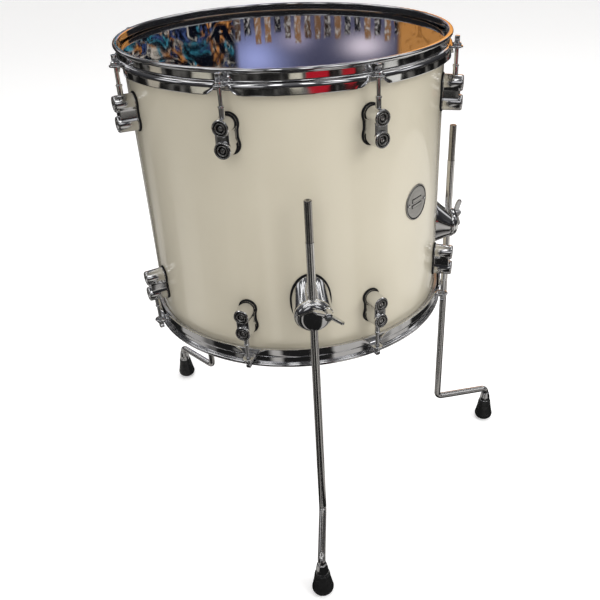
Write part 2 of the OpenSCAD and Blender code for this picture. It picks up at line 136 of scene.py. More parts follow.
def loft(bm, rings, m, mat=0, loop=False, ends=(True, True)):
    """Joins rings of points into a surface. A ring of one point closes it to a tip."""
    made = [[bm.verts.new(m @ Vector(p)) for p in ring] for ring in rings]
    pairs = list(zip(made, made[1:]))
    if loop:
        pairs.append((made[-1], made[0]))
    for a, b in pairs:
        n = max(len(a), len(b))
        for j in range(n):
            k = (j + 1) % n
            if len(a) == 1:
                f = (a[0], b[k], b[j])
            elif len(b) == 1:
                f = (a[j], a[k], b[0])
            else:
                f = (a[j], a[k], b[k], b[j])
            bm.faces.new(f).material_index = mat
    if not loop:
        if ends[0] and len(made[0]) > 2:
            bm.faces.new(made[0]).material_index = mat
        if ends[1] and len(made[-1]) > 2:
            bm.faces.new(made[-1]).material_index = mat
    return made


def lathe(bm, profile, m, segs=64, mat=0, loop=False, ends=(True, True)):
    """Spins a profile of (r, z) about Z."""
    rings = []
    for r, z in profile:
        if r < 1e-6:
            rings.append([(0, 0, z)])
            continue
        ring = []
        for j in range(segs):
            t = 2 * math.pi * j / segs
            ring.append((r * math.cos(t), r * math.sin(t), z))
        rings.append(ring)
    return loft(bm, rings, m, mat, loop, ends)


def piece(name, bm, body, mats, replaces=(), weighted=True, sharp=None):
    """Makes an object in metres from a mesh in millimetres, riding on a CAD body."""
    bmesh.ops.remove_doubles(bm, verts=bm.verts, dist=1e-4)
    bmesh.ops.recalc_face_normals(bm, faces=bm.faces)
    bm.transform(Matrix.Scale(0.001, 4))
    mesh = bpy.data.meshes.new(name)
    for f in bm.faces:
        f.smooth = True
    bm.to_mesh(mesh)
    bm.free()
    for mat in mats:
        mesh.materials.append(mat)
    if sharp is not None:
        mesh.set_sharp_from_angle(angle=math.radians(sharp))
    obj = bpy.data.objects.new(name, mesh)
    bpy.context.scene.collection.objects.link(obj)
    if weighted:
        mod = obj.modifiers.new("normals", "WEIGHTED_NORMAL")
        mod.keep_sharp = True
    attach(obj, body)
    if replaces:
        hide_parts(*replaces)
    return obj


def softened(node, name, body, mats, width):
    """A copy of a machined CAD piece with its edges broken, standing for the node."""
    bm = bmesh.new()
    bm.from_mesh(nodes[node].data)
    bmesh.ops.remove_doubles(bm, verts=bm.verts, dist=2e-6)
    bmesh.ops.dissolve_limit(bm, angle_limit=math.radians(1.0), verts=bm.verts, edges=bm.edges)
    for f in bm.faces:
        f.smooth = True
        f.material_index = 0
    mesh = bpy.data.meshes.new(name)
    bm.to_mesh(mesh)
    bm.free()
    for mat in mats:
        mesh.materials.append(mat)
    obj = bpy.data.objects.new(name, mesh)
    bpy.context.scene.collection.objects.link(obj)
    bev = obj.modifiers.new("edges", "BEVEL")
    bev.width = width / 1000
    bev.segments = 3
    bev.limit_method = "ANGLE"
    bev.angle_limit = math.radians(24)
    bev.miter_outer = "MITER_ARC"
    mod = obj.modifiers.new("normals", "WEIGHTED_NORMAL")
    mod.keep_sharp = True
    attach(obj, body)
    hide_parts(node)
    return obj


# ---- Materials ----------------------------------------------------------------------------


class Nodes:
    """A small helper that builds one material's node tree."""

    def __init__(self, name):
        self.mat = bpy.data.materials.new(name)
        self.mat.use_nodes = True
        self.t = self.mat.node_tree
        self.bsdf = self.t.nodes["Principled BSDF"]
        self.coord = self.add("ShaderNodeTexCoord").outputs["Object"]

    def add(self, kind, **props):
        n = self.t.nodes.new(kind)
        for k, v in props.items():
            setattr(n, k, v)
        return n

    def put(self, socket, value):
        if isinstance(value, bpy.types.NodeSocket):
            self.t.links.new(value, socket)
        else:
            socket.default_value = value

    def stretch(self, scale):
        n = self.add("ShaderNodeMapping")
        self.put(n.inputs["Vector"], self.coord)
        n.inputs["Scale"].default_value = scale
        return n.outputs["Vector"]

    def noise(self, scale, detail=3.0, rough=0.55, vector=None):
        n = self.add("ShaderNodeTexNoise")
        self.put(n.inputs["Vector"], vector or self.coord)
        n.inputs["Scale"].default_value = scale
        n.inputs["Detail"].default_value = detail
        n.inputs["Roughness"].default_value = rough
        return n.outputs["Fac"]

    def cells(self, scale):
        n = self.add("ShaderNodeTexVoronoi")
        self.put(n.inputs["Vector"], self.coord)
        n.inputs["Scale"].default_value = scale
        return n.outputs["Color"]

    def range(self, value, a, b, c, d):
        n = self.add("ShaderNodeMapRange", clamp=True)
        self.put(n.inputs["Value"], value)
        for key, v in zip(("From Min", "From Max", "To Min", "To Max"), (a, b, c, d)):
            n.inputs[key].default_value = v
        return n.outputs["Result"]

    def math(self, op, a, b=0.0):
        n = self.add("ShaderNodeMath", operation=op)
        self.put(n.inputs[0], a)
        self.put(n.inputs[1], b)
        return n.outputs[0]

    def mix(self, fac, a, b):
        n = self.add("ShaderNodeMix", data_type="RGBA")
        self.put(n.inputs["Factor"], fac)
        self.put(n.inputs["A"], a)
        self.put(n.inputs["B"], b)
        return n.outputs["Result"]

    def bump(self, height, strength, distance):
        n = self.add("ShaderNodeBump")
        n.inputs["Strength"].default_value = strength
        n.inputs["Distance"].default_value = distance
        self.put(n.inputs["Height"], height)
        self.put(self.bsdf.inputs["Normal"], n.outputs["Normal"])

    def set(self, **values):
        for key, v in values.items():
            self.put(self.bsdf.inputs[key.replace("_", " ")], v)


def wrap_material():
    """Pearl ivory wrap: fine flakes under a clear glossy skin, with a slow change of tone."""
    n = Nodes("pearl_ivory_wrap")
    tone = n.noise(7.0, 3.0, 0.5)
    flake = n.cells(1400.0)
    spark = n.range(flake, 0.15, 0.85, 0.0, 1.0)
    base = n.mix(n.range(tone, 0.3, 0.7, 0.0, 1.0),
                 (0.575, 0.525, 0.410, 1), (0.605, 0.556, 0.440, 1))
    pearl = n.mix(n.math("MULTIPLY", spark, 0.05), base, (0.70, 0.67, 0.58, 1))
    n.set(Base_Color=pearl, Metallic=0.0, Roughness=0.24, Specular_IOR_Level=0.5,
          Coat_Weight=1.0, Coat_Roughness=0.035, Coat_IOR=1.5)
    n.bump(n.noise(55.0, 2.0, 0.4), 0.06, 0.0006)
    return n.mat


def maple_material():
    """Bare maple plies with a clear lacquer: vertical grain inside the shell."""
    n = Nodes("maple_ply")
    grain = n.noise(9.0, 6.0, 0.62, n.stretch((9.0, 9.0, 0.8)))
    fine = n.noise(60.0, 3.0, 0.6, n.stretch((8.0, 8.0, 0.35)))
    a = n.mix(n.range(grain, 0.3, 0.72, 0.0, 1.0), (0.50, 0.27, 0.115, 1), (0.70, 0.45, 0.23, 1))
    b = n.mix(n.range(fine, 0.45, 0.7, 0.0, 0.45), a, (0.36, 0.18, 0.075, 1))
    n.set(Base_Color=b, Roughness=n.range(fine, 0.3, 0.7, 0.30, 0.45), Coat_Weight=0.35,
          Coat_Roughness=0.15)
    n.bump(fine, 0.15, 0.0003)
    return n.mat


def chrome_material(name, tint, low, high, wave=0.05):
    """Plated metal: faint smears in the gloss and a slow unevenness of the polish."""
    n = Nodes(name)
    smear = n.noise(38.0, 5.0, 0.62)
    fine = n.noise(420.0, 2.0, 0.5)
    both = n.math("MULTIPLY", smear, n.range(fine, 0.3, 0.7, 0.85, 1.15))
    tone = n.mix(n.range(smear, 0.35, 0.7, 0.0, 1.0), tint,
                 tuple(c * 0.93 for c in tint[:3]) + (1,))
    n.set(Base_Color=tone, Metallic=1.0, Roughness=n.range(both, 0.32, 0.75, low, high))
    n.bump(n.noise(26.0, 2.0, 0.4), wave, 0.0008)
    return n.mat


def brushed_material():
    """Badge metal, brushed along one direction."""
    n = Nodes("brushed_badge")
    lines = n.noise(55.0, 6.0, 0.7, n.stretch((1.0, 1.0, 26.0)))
    tone = n.mix(n.range(lines, 0.3, 0.7, 0.0, 1.0), (0.46, 0.45, 0.44, 1), (0.68, 0.67, 0.65, 1))
    n.set(Base_Color=tone, Metallic=1.0, Roughness=n.range(lines, 0.3, 0.7, 0.34, 0.50))
    n.bump(lines, 0.12, 0.0002)
    return n.mat


def rubber_material(name, tone, low, high, grain, gloss):
    n = Nodes(name)
    mottle = n.noise(90.0, 4.0, 0.6)
    light = tuple(c * 2.2 for c in tone[:3]) + (1,)
    n.set(Base_Color=n.mix(n.range(mottle, 0.4, 0.8, 0.0, 0.6), tone, light),
          Roughness=n.range(mottle, 0.3, 0.7, low, high), Specular_IOR_Level=gloss)
    n.bump(n.noise(grain, 3.0, 0.6), 0.18, 0.0003)
    return n.mat


def film_material():
    """Clear head film: it mirrors at a low angle and is seen through from above."""
    n = Nodes("clear_film")
    haze = n.noise(14.0, 4.0, 0.6)
    edge = n.add("ShaderNodeFresnel")
    edge.inputs["IOR"].default_value = 1.62
    shine = n.math("ADD", edge.outputs["Fac"], n.range(haze, 0.4, 0.8, 0.0, 0.012))
    n.set(Base_Color=n.mix(n.range(haze, 0.3, 0.7, 0.0, 1.0),
                           (0.93, 0.95, 1.0, 1), (0.98, 0.98, 1.0, 1)),
          Metallic=1.0, Roughness=n.range(haze, 0.3, 0.7, 0.018, 0.035), Alpha=shine)
    n.bump(n.noise(5.0, 2.0, 0.4), 0.02, 0.002)
    return n.mat


def zinc_material():
    n = Nodes("zinc_steel")
    spots = n.cells(700.0)
    tone = n.mix(n.range(spots, 0.2, 0.9, 0.0, 1.0), (0.46, 0.47, 0.49, 1), (0.62, 0.63, 0.64, 1))
    n.set(Base_Color=tone, Metallic=1.0, Roughness=n.range(n.noise(200.0), 0.3, 0.7, 0.28, 0.42))
    n.bump(n.noise(500.0), 0.08, 0.0002)
    return n.mat


def satin_material():
    n = Nodes("satin_aluminium")
    lines = n.noise(40.0, 4.0, 0.6, n.stretch((1.0, 1.0, 14.0)))
    n.set(Base_Color=n.mix(n.range(lines, 0.3, 0.7, 0.0, 1.0), (0.58, 0.58, 0.59, 1),
                           (0.72, 0.72, 0.73, 1)),
          Metallic=1.0, Roughness=n.range(lines, 0.3, 0.7, 0.22, 0.36))
    n.bump(lines, 0.1, 0.0002)
    return n.mat


WRAP = wrap_material()
MAPLE = maple_material()
CHROME = chrome_material("polished_chrome", (0.80, 0.80, 0.81, 1), 0.045, 0.10, 0.03)
CAST = chrome_material("cast_chrome", (0.76, 0.76, 0.765, 1), 0.07, 0.14, 0.04)
FACE = chrome_material("turned_lug_face", (0.62, 0.61, 0.60, 1), 0.20, 0.32, 0.02)
# A near-black metal laid into the grooves and recess floors of the lugs and the badge: painted shade in these
# hollows, not a finish of the part.
GROOVE_SHADE = chrome_material("groove_painted_shade", (0.07, 0.07, 0.07, 1), 0.35, 0.5, 0.02)
ROD = chrome_material("rod_chrome", (0.70, 0.69, 0.68, 1), 0.16, 0.26, 0.0)
TIP = chrome_material("rod_tip_chrome", (0.40, 0.385, 0.37, 1), 0.20, 0.30, 0.0)
BRUSHED = brushed_material()
FILM = film_material()
SATIN = satin_material()
ZINC = zinc_material()
GASKET = rubber_material("gasket_rubber", (0.008, 0.008, 0.009, 1), 0.50, 0.70, 700.0, 0.2)
FOOT = rubber_material("foot_rubber", (0.010, 0.010, 0.010, 1), 0.16, 0.32, 300.0, 0.5)

# ---- Shell and heads ----------------------------------------------------------------------

PLIES = 6.6              # thickness of the shell's wall


def build_shell():
    inner = SHELL_R - PLIES
    depth = Z_TOP - Z_BASE
    edge = [(inner, depth - 4.2, 1.5), (inner + 4.2, depth, 0.5), (SHELL_R - 1.6, depth, 0.5),
            (SHELL_R, depth - 1.6, 0.5)]
    low = [(SHELL_R, 1.6, 0.5), (SHELL_R - 1.6, 0, 0.5), (inner + 4.2, 0, 0.5),
           (inner, 4.2, 1.5)]
    prof = rounded(low + edge, 3, closed=True)
    bm = bmesh.new()
    lathe(bm, prof, at(0, Z_BASE), 384, 1, loop=True)
    for f in bm.faces:
        c = f.calc_center_median()
        if math.hypot(c.x - AX, c.y - AY) > SHELL_R - 0.35:
            f.material_index = 0
    piece("shell_wrap_and_plies", bm, "drum", [WRAP, MAPLE], ["shell"])


def build_heads():
    for side, node in (("upper", "batter_head"), ("lower", "resonant_head")):
        bm = bmesh.new()
        lo_r, hi_r = SHELL_R + 0.15, SHELL_R + 0.4
        prof = [(0, 0), (60, 0), (120, 0), (180, 0)]
        prof += rounded([(lo_r - 3, 0), (lo_r, 0, 0.5), (lo_r, -13)], 4)
        prof += rounded([(hi_r, -13), (hi_r, 0.25, 0.7), (hi_r - 3, 0.25)], 4)
        prof += [(180, 0.25), (120, 0.25), (60, 0.25), (0, 0.25)]
        lathe(bm, prof, side_at(side, 0), 256)
        piece(node + "_film", bm, "drum", [FILM], [node])
        bm = bmesh.new()
        r0, r1 = SHELL_R + 0.45, SHELL_R + 5.7
        z1 = RISE - 16.6
        prof = rounded([(r0, z1 - 7.5, 1.0), (r1, z1 - 7.5, 1.6), (r1, z1, 1.6),
                        (r0, z1, 1.0)], 4, closed=True)
        lathe(bm, prof, side_at(side, 0), 256, loop=True)
        ring = "batter_flesh_hoop" if side == "upper" else "resonant_flesh_hoop"
        piece(ring + "_ring", bm, "drum", [SATIN], [ring])


# ---- Hoops --------------------------------------------------------------------------------

WALL_R = SHELL_R + 3     # inside of the hoop's upright wall
STEEL = 2.2              # thickness of the pressing
EAR_TOP, EAR_LOW = -14.3, -16.6    # faces of the rod ears, below the hoop's rim


def skirt_edge(y):
    """Height of the skirt's lower edge at a distance y along the hoop from a rod."""
    a, b = 6.8, 23.5
    top, low = -16.4, -27.7
    t = min(max((abs(y) - a) / (b - a), 0.0), 1.0)
    return top + (low - top) * (1 - (1 - t) ** 2.3) ** 0.8


def edge_curl(y):
    """How far the skirt's cut edge is rolled outward near a rod, where the steel is stretched."""
    return 1.7 * math.exp(-((abs(y) - 13.5) / 5.0) ** 2)


def hoop_half(angle):
    """Outer and inner lines of the pressed section from the wall down, cut at the edge."""
    samples = 26
    near = min(abs((angle - a + 180) % 360 - 180) for a in ROD_AT)
    along = math.radians(near) * (WALL_R + 6)
    low = skirt_edge(along)
    curl = edge_curl(along)
    sx, sz, r = WALL_R + 1.2, -19.6, 5.6
    mid = r - STEEL / 2
    bend = mid * math.pi / 2
    if low > sz:
        reach = mid * (math.pi / 2 - math.asin(min(1, (low - sz) / mid)))
        reach = max(reach, 1.2)
    else:
        reach = bend + (sz - low)
    outer, inner = [], []
    for i in range(samples + 1):
        s = reach * i / samples
        push = curl * max(0.0, 1 - (reach - s) / 4.0) ** 2
        if s < bend:
            t = math.pi / 2 - s / mid
            outer.append((sx + r * math.cos(t) + push, sz + r * math.sin(t)))
            inner.append((sx + (r - STEEL) * math.cos(t) + push, sz + (r - STEEL) * math.sin(t)))
        else:
            outer.append((sx + r + push, sz - (s - bend)))
            inner.append((sx + r - STEEL + push, sz - (s - bend)))
    return outer, inner


def hoop_section(angle):
    outer, inner = hoop_half(angle)
    bead_x, bead_r = WALL_R + 4.1, 2.4
    # rolled bead, then the outside of the wall with a soft inner corner
    top = arc(bead_x, -bead_r, bead_r, 90, -140, 18)
    wall_out = WALL_R + STEEL
    foot = arc(wall_out + 0.9, -13.2, 0.9, 180, 255, 4)
    line = [(wall_out + 0.25, -4.6), (wall_out, -5.4)] + foot[:-1]
    down = line + [p for p in outer if p[0] > foot[-1][0] + 0.25]
    tip_o, tip_i = outer[-1], inner[-1]
    back = inner[::-1]
    tip = [(tip_o[0] * 0.85 + tip_i[0] * 0.15, tip_o[1] * 0.85 + tip_i[1] * 0.15)]
    inside = [(WALL_R + 0.15, -16.6), (WALL_R, -15.6), (WALL_R, -9), (WALL_R, -3)]
    lip = arc(WALL_R + 2, -2, 2, 180, 90, 5)
    return top, down, tip, back, inside + lip + [(bead_x - 0.8, 0)]


def hoop_ring_points(angle, counts):
    """The closed section at an angle, resampled so that every angle has the same count."""
    parts = hoop_section(angle)
    out = []
    for part, count in zip(parts, counts):
        if len(part) == count:
            out += part
            continue
        lengths = [0.0]
        for a, b in zip(part, part[1:]):
            lengths.append(lengths[-1] + math.dist(a, b))
        total = lengths[-1]
        k = 0
        for i in range(count):
            want = total * i / (count - 1)
            while k < len(part) - 2 and lengths[k + 1] < want:
                k += 1
            span = lengths[k + 1] - lengths[k] or 1
            t = (want - lengths[k]) / span
            out.append((part[k][0] + (part[k + 1][0] - part[k][0]) * t,
                        part[k][1] + (part[k + 1][1] - part[k][1]) * t))
    return out


def ear(bm, m):
    """The flat ear that carries one rod: a rounded plate with a hole, soft at its edges."""
    z1, z0, r, hole = EAR_TOP, EAR_LOW, 7.6, 3.3
    back = ROD_X - (WALL_R + 0.8)

    def reach(t, inset):
        c, s = math.cos(t), math.sin(t)
        if c >= 0:
            return r - inset
        side = (r - inset) / max(abs(s), 1e-6)
        return min(side, back / abs(c))

    levels = [(hole, z1 - 0.4, 0), (hole + 0.4, z1, 0), (None, z1, 0.8), (None, z1 - 0.25, 0.22),
              (None, z1 - 0.8, 0), (None, z0 + 0.8, 0), (None, z0 + 0.25, 0.22),
              (None, z0, 0.8), (hole + 0.4, z0, 0), (hole, z0 + 0.4, 0)]
    segs = 72
    rings = []
    for rr, z, inset in levels:
        ring = []
        for j in range(segs):
            t = 2 * math.pi * j / segs
            q = rr if rr is not None else reach(t, inset)
            ring.append((ROD_X + q * math.cos(t), q * math.sin(t), z))
        rings.append(ring)
    loft(bm, rings, m, 0, loop=True)


def build_hoops():
    counts = (19, 34, 1, 27, 11)
    segs = 1440
    table = []
    for j in range(segs):
        t = 360.0 * j / segs
        table.append(hoop_ring_points(t, counts))
    for side, node in (("upper", "batter_hoop"), ("lower", "resonant_hoop")):
        bm = bmesh.new()
        base = side_at(side, 0) @ Matrix.Translation((0, 0, RISE))
        rings = []
        for j, sec in enumerate(table):
            t = 2 * math.pi * j / segs
            rings.append([(r * math.cos(t), r * math.sin(t), z) for r, z in sec])
        loft(bm, rings, base, 0, loop=True)
        for a in ROD_AT:
            ear(bm, side_at(side, a) @ Matrix.Translation((0, 0, RISE)))
        piece(node + "_pressing", bm, "drum", [CHROME], [node])


# ---- Lugs ---------------------------------------------------------------------------------

PITCH = 24.1             # between the two turrets of a lug
INSET = 60.75            # from the shell's edge to the middle of a lug


def peanut(t, r, waist):
    """Distance to the edge of a two-lobed outline whose lobes lie along Z, at angle t."""
    s, c = abs(math.sin(t)), abs(math.cos(t))   # s along Z, c across
    h = PITCH / 2
    d = r * r - (h * c) ** 2
    lobe = h * s + math.sqrt(d) if d > 0 else 0.0
    bar = waist / max(c, 1e-6)
    bar = bar if bar * s < h else 0.0
    return max(lobe, bar)


def smooth_peanut(t, r, waist):
    step = math.radians(1.5)
    return sum(peanut(t + k * step, r, waist) for k in range(-6, 7)) / 13


def bent(levels, outline, segs, m, bm, mat=0):
    """Rings on surfaces at a radius about the drum's axis, from outside to the middle."""
    rings = []
    for inset, rad in levels:
        ring = []
        for j in range(segs):
            t = 2 * math.pi * j / segs
            d = outline(t)
            d = max(d - inset, 0.0)
            y, z = d * math.cos(t), d * math.sin(t)
            ring.append((math.sqrt(rad * rad - y * y), y, z))
        rings.append(ring)
    rings.append([(levels[-1][1], 0, 0)])
    loft(bm, rings, m, mat, ends=(False, True))


def turret(bm, m):
    """One turret: tapered post whose end carries a groove, a flat ring and a dished middle."""
    f = 26.2
    prof = rounded([(0, 0.5), (10.4, 0.5), (9.75, f - 1.4, 0.9), (9.0, f, 0.8), (7.7, f, 0.4),
                    (7.3, f - 1.6, 0.3), (6.4, f - 1.6, 0.3), (6.0, f - 0.1, 0.4),
                    (4.9, f - 0.1, 0.5), (3.9, f - 2.8, 0.6), (3.0, f - 2.8, 0.4),
                    (2.6, f - 1.4, 0.8), (0, f - 0.7)], 4)
    n = 72
    rings = lathe(bm, prof, m @ OUT, n)
    place = {v: prof[i][0] for i, ring in enumerate(rings) for v in ring}
    for face in rings[-1][0].link_faces:
        face.material_index = 1
    for i, (r, z) in enumerate(prof):
        if z > f - 4 and r < 7.9:
            for v in rings[i]:
                for face in v.link_faces:
                    if all(place[w] < 9.05 for w in face.verts):
                        face.material_index = 1
    # the ring groove and the floor of the dished middle take the near-black material: painted shade in these
    # recesses
    for ring in rings:
        for v in ring:
            for face in v.link_faces:
                radii = [place[w] for w in face.verts]
                if 6.25 < min(radii) and max(radii) < 7.6 or 2.7 < min(radii) and max(radii) < 4.2:
                    face.material_index = 2


def lug(bm, m):
    for s in (-1, 1):
        turret(bm, m @ Matrix.Translation((SHELL_R, 0, s * PITCH / 2)))
    # the body between and around the turrets, one smooth two-lobed wall
    top = 22.6
    rings = []
    for u, r, waist in ((1.5, 10.3, 8.5), (8, 10.2, 8.4), (16, 10.0, 8.3), (top - 0.9, 9.8, 8.2),
                        (top - 0.3, 9.6, 8.0), (top, 9.0, 7.4), (top - 0.1, 6.0, 4.0)):
        ring = []
        for j in range(96):
            t = 2 * math.pi * j / 96
            d = smooth_peanut(t, r, waist)
            ring.append((SHELL_R + u, d * math.cos(t), d * math.sin(t)))
        rings.append(ring)
    rings.append([(SHELL_R + top - 0.1, 0, 0)])
    loft(bm, rings, m, ends=(False, True))
    # seating flange that follows the shell
    seat = SHELL_R + 2.05
    bent([(0.5, seat - 0.6), (0.0, seat), (0.0, seat + 1.2), (0.4, seat + 1.9), (1.2, seat + 2.2)],
         lambda t: smooth_peanut(t, 10.5, 8.7), 96, m, bm)


def lug_pad(bm, m):
    bent([(0.9, SHELL_R - 0.4), (0.3, SHELL_R + 0.1), (0.0, SHELL_R + 0.6), (0.0, SHELL_R + 1.5),
          (0.5, SHELL_R + 2.0), (1.4, SHELL_R + 2.0)],
         lambda t: smooth_peanut(t, 12.2, 10.4), 96, m, bm)


def sleeve(bm, m):
    """The swivel nut's sleeve with its collar, standing out of the upper turret."""
    prof = rounded([(2.6, -4), (3.3, -4), (3.3, 19.7, 0.2), (3.9, 20.2, 0.3), (3.9, 21.7, 0.4),
                    (2.75, 22.0, 0.2), (2.6, 20.0)], 3)
    lathe(bm, prof, m @ Matrix.Translation((ROD_X, 0, PITCH / 2)), 48, ends=(False, False))


def build_lugs():
    for side in SIDES:
        cast, pads, nuts = bmesh.new(), bmesh.new(), bmesh.new()
        for a in ROD_AT:
            m = side_at(side, a) @ Matrix.Translation((0, 0, -INSET))
            lug(cast, m)
            lug_pad(pads, m)
            sleeve(nuts, m)
        piece(f"{side}_lug_castings", cast, "drum", [CAST, FACE, GROOVE_SHADE],
              [f"{side}_lugs"])
        piece(f"{side}_lug_pads", pads, "drum", [GASKET], [f"{side}_lug_gaskets"])
        piece(f"{side}_nut_sleeves", nuts, "drum", [CHROME], [f"{side}_swivel_nuts"])


# ---- Tension rods -------------------------------------------------------------------------


def square(t, r):
    """Radius of a rounded square, for the drive of a rod's head."""
    c, s = abs(math.cos(t)), abs(math.sin(t))
    p = 9.0
    return r / (c ** p + s ** p) ** (1 / p)


def build_rods():
    seat = RISE + EAR_TOP + 1.45
    tail = -INSET - 3
    for side in SIDES:
        washers = bmesh.new()
        for k, a in enumerate(ROD_AT, 1):
            m = side_at(side, a) @ Matrix.Translation((ROD_X, 0, 0))
            bm = bmesh.new()
            thread = []
            z = tail + 1
            while z < tail + 34:
                thread += [(2.45, z), (2.2, z + 0.4)]
                z += 0.8
            body = [(0, tail), (1.7, tail)] + thread + [(2.45, z)]
            body += rounded([(2.45, seat - 1.6), (2.45, seat, 0.3), (5.3, seat, 0.35),
                             (5.3, seat + 1.7, 0.6), (3.6, seat + 2.6, 0.5),
                             (0, seat + 2.7)], 4)
            lathe(bm, body, m, 40)
            z0, z1 = seat + 2.0, seat + 2.6 + 7.6
            drive = [(3.0, z0), (3.0, z1 - 0.9), (2.92, z1 - 0.45), (2.6, z1 - 0.1), (2.2, z1)]
            rings = [[(square(2 * math.pi * j / 56, r) * math.cos(2 * math.pi * j / 56),
                       square(2 * math.pi * j / 56, r) * math.sin(2 * math.pi * j / 56), z)
                      for j in range(56)] for r, z in drive]
            rings.append([(0, 0, z1 + 0.05)])
            loft(bm, rings, m)
            name = f"{side}_tension_rod_{k}"
            piece(name + "_screw", bm, name, [CHROME], [name])
            wz = RISE + EAR_TOP
            prof = rounded([(2.65, wz, 0.2), (5.7, wz, 0.45), (5.7, wz + 1.4, 0.45),
                            (2.65, wz + 1.4, 0.2)], 3, closed=True)
            lathe(washers, prof, m, 48, loop=True)
        piece(f"{side}_washers", washers, "drum", [CHROME], [f"{side}_rod_washers"])


# ---- Badge --------------------------------------------------------------------------------


def build_badge():
    lo, hi = mm_box("badge")
    x, y = (lo[0] + hi[0]) / 2 - AX, (lo[1] + hi[1]) / 2 - AY
    m = at(math.degrees(math.atan2(y, x)), (lo[2] + hi[2]) / 2)
    bm = bmesh.new()
    r = (hi[2] - lo[2]) / 2
    s = SHELL_R
    segs = 120
    levels = [(0, s + 0.02), (0, s + 1.2), (0.25, s + 1.5), (0.7, s + 1.6), (1.3, s + 1.55),
              (1.7, s + 0.9), (2.3, s + 0.9), (2.6, s + 1.2), (3.2, s + 1.25), (8.0, s + 1.25),
              (8.4, s + 1.05), (8.9, s + 1.3), (9.6, s + 1.3), (10.0, s + 1.05)]
    bent(levels, lambda t: r, segs, m, bm)
    # the recessed ring round the field takes the near-black material: painted shade in the recess
    for f in bm.faces:
        c = m.inverted() @ f.calc_center_median()
        if r - 2.55 < math.hypot(c.y, c.z) < r - 1.4:
            f.material_index = 1
    # plain raised bars across the field
    for z0, z1, w in ((1.2, 6.0, 10.0), (-5.6, -1.8, 10.6)):
        rings = []
        for rad, k in ((s + 0.8, -0.5), (s + 1.28, -0.5), (s + 1.65, 0.3), (s + 1.65, 1.2)):
            ring = []
            for py, pz in rounded([(-w + k, z0 + k, 0.8), (w - k, z0 + k, 0.8),
                                   (w - k, z1 - k, 0.8), (-w + k, z1 - k, 0.8)], 3, closed=True):
                ring.append((math.sqrt(rad * rad - py * py), py, pz))
            rings.append(ring)
        made = loft(bm, rings, m)
        # the bars' sloping sides take the near-black material too: painted shade along their flanks
        for v in made[1]:
            for f in v.link_faces:
                f.material_index = 1
    piece("badge_plate", bm, "drum", [BRUSHED, GROOVE_SHADE], ["badge"])
    bm = bmesh.new()
    for sy in (-17.5, 17.5):
        x0 = math.sqrt((s + 1) ** 2 - sy * sy)
        prof = rounded([(0, -1), (1.4, -1), (1.4, 0.2), (2.4, 0.3, 0.2), (2.2, 0.9, 0.5),
                        (1.2, 1.35, 0.8), (0, 1.45)], 4)
        lathe(bm, prof, m @ Matrix.Translation((x0, sy, 0)) @ OUT, 32)
    piece("badge_pins", bm, "drum", [CHROME], ["badge_rivets"])


# ---- Legs ---------------------------------------------------------------------------------


def build_legs():
    for leg in LEGS:
        body = leg + "_leg"
        foot_x, foot_y = [v * 1000 for v in mounts[leg + "_foot_tread"]["pos_m"][:2]]
        top_x, top_y = [v * 1000 for v in mounts[leg + "_leg_rod_end"]["pos_m"][:2]]
        top_z = mm_box(leg + "_leg_rod")[1][2]
        turn = math.atan2(foot_y - top_y, foot_x - top_x)
        arm = math.hypot(foot_x - top_x, foot_y - top_y)
        m = Matrix.Translation((top_x, top_y, 0)) @ Matrix.Rotation(turn, 4, "Z")
        r, b, h = 5.2, 8.0, 63.0
        step = top_z - 51
        path, rad = [], []

        def go(x, z, q):
            path.append((x, 0, z))
            rad.append(q)

        for z, q in ((top_z - 6, 1.8), (top_z - 0.5, 1.8), (top_z, 2.2), (top_z, 3.9),
                     (top_z - 0.3, 4.35), (top_z - 0.9, 4.8), (step + 0.4, 4.8), (step, 4.9),
                     (step - 0.5, r), (step - 60, r), (step - 180, r), (h + b + 40, r)):
            go(0, z, q)
        upright = len(path)
        for x, z in arc(b, h + b, b, 180, 270, 14):
            go(x, z, r)
        go(arm / 2, h, r)
        for x, z in arc(arm - b, h - b, b, 90, 0, 14):
            go(x, z, r)
        go(arm, 30, r)
        rings = []
        segs = 48
        for k, p in enumerate(path):
            if k < upright or k == len(path) - 1:
                d = Vector((0, 0, -1))
            else:
                d = (Vector(path[k + 1]) - Vector(path[k - 1])).normalized()
            side = Vector((0, 1, 0))
            up = d.cross(side).normalized()
            rings.append([Vector(p) + side * (rad[k] * math.cos(2 * math.pi * j / segs))
                          + up * (rad[k] * math.sin(2 * math.pi * j / segs))
                          for j in range(segs)])
        bm = bmesh.new()
        loft(bm, rings, m)
        for face in bm.faces:
            if face.calc_center_median().z > step - 0.4:
                face.material_index = 1
        piece(f"{leg}_leg_rod_bar", bm, body, [ROD, TIP], [f"{leg}_leg_rod"])
        f = m @ Matrix.Translation((arm, 0, 0))
        bm = bmesh.new()
        prof = rounded([(5.25, 37, 0.1), (9.2, 37, 0.4), (9.2, 39.2, 0.5), (8.7, 40.0, 0.4),
                        (8.3, 45.5, 1.5), (6.7, 53.2, 0.6), (6.2, 54, 0.4), (5.25, 54, 0.2)],
                       4, closed=True)
        lathe(bm, prof, f, 64, loop=True)
        piece(f"{leg}_ferrule_cup", bm, body, [CAST], [f"{leg}_leg_ferrule"])
        bm = bmesh.new()
        prof = [(0, 0)] + rounded([(0, 0), (6, 0, 1)], 2) + arc(6, 9, 9, -84, 15, 18)
        prof += rounded([(14.3, 12.6), (13.0, 19, 30), (11.2, 29, 20), (10.4, 35.9, 0.5),
                         (9.6, 36.9, 0.4), (0, 36.9)], 5)
        clean = [prof[0]]
        for p in prof[1:]:
            if math.dist(p, clean[-1]) > 0.05:
                clean.append(p)
        lathe(bm, clean, f, 64)
        piece(f"{leg}_foot_rubber", bm, body, [FOOT], [f"{leg}_foot"])


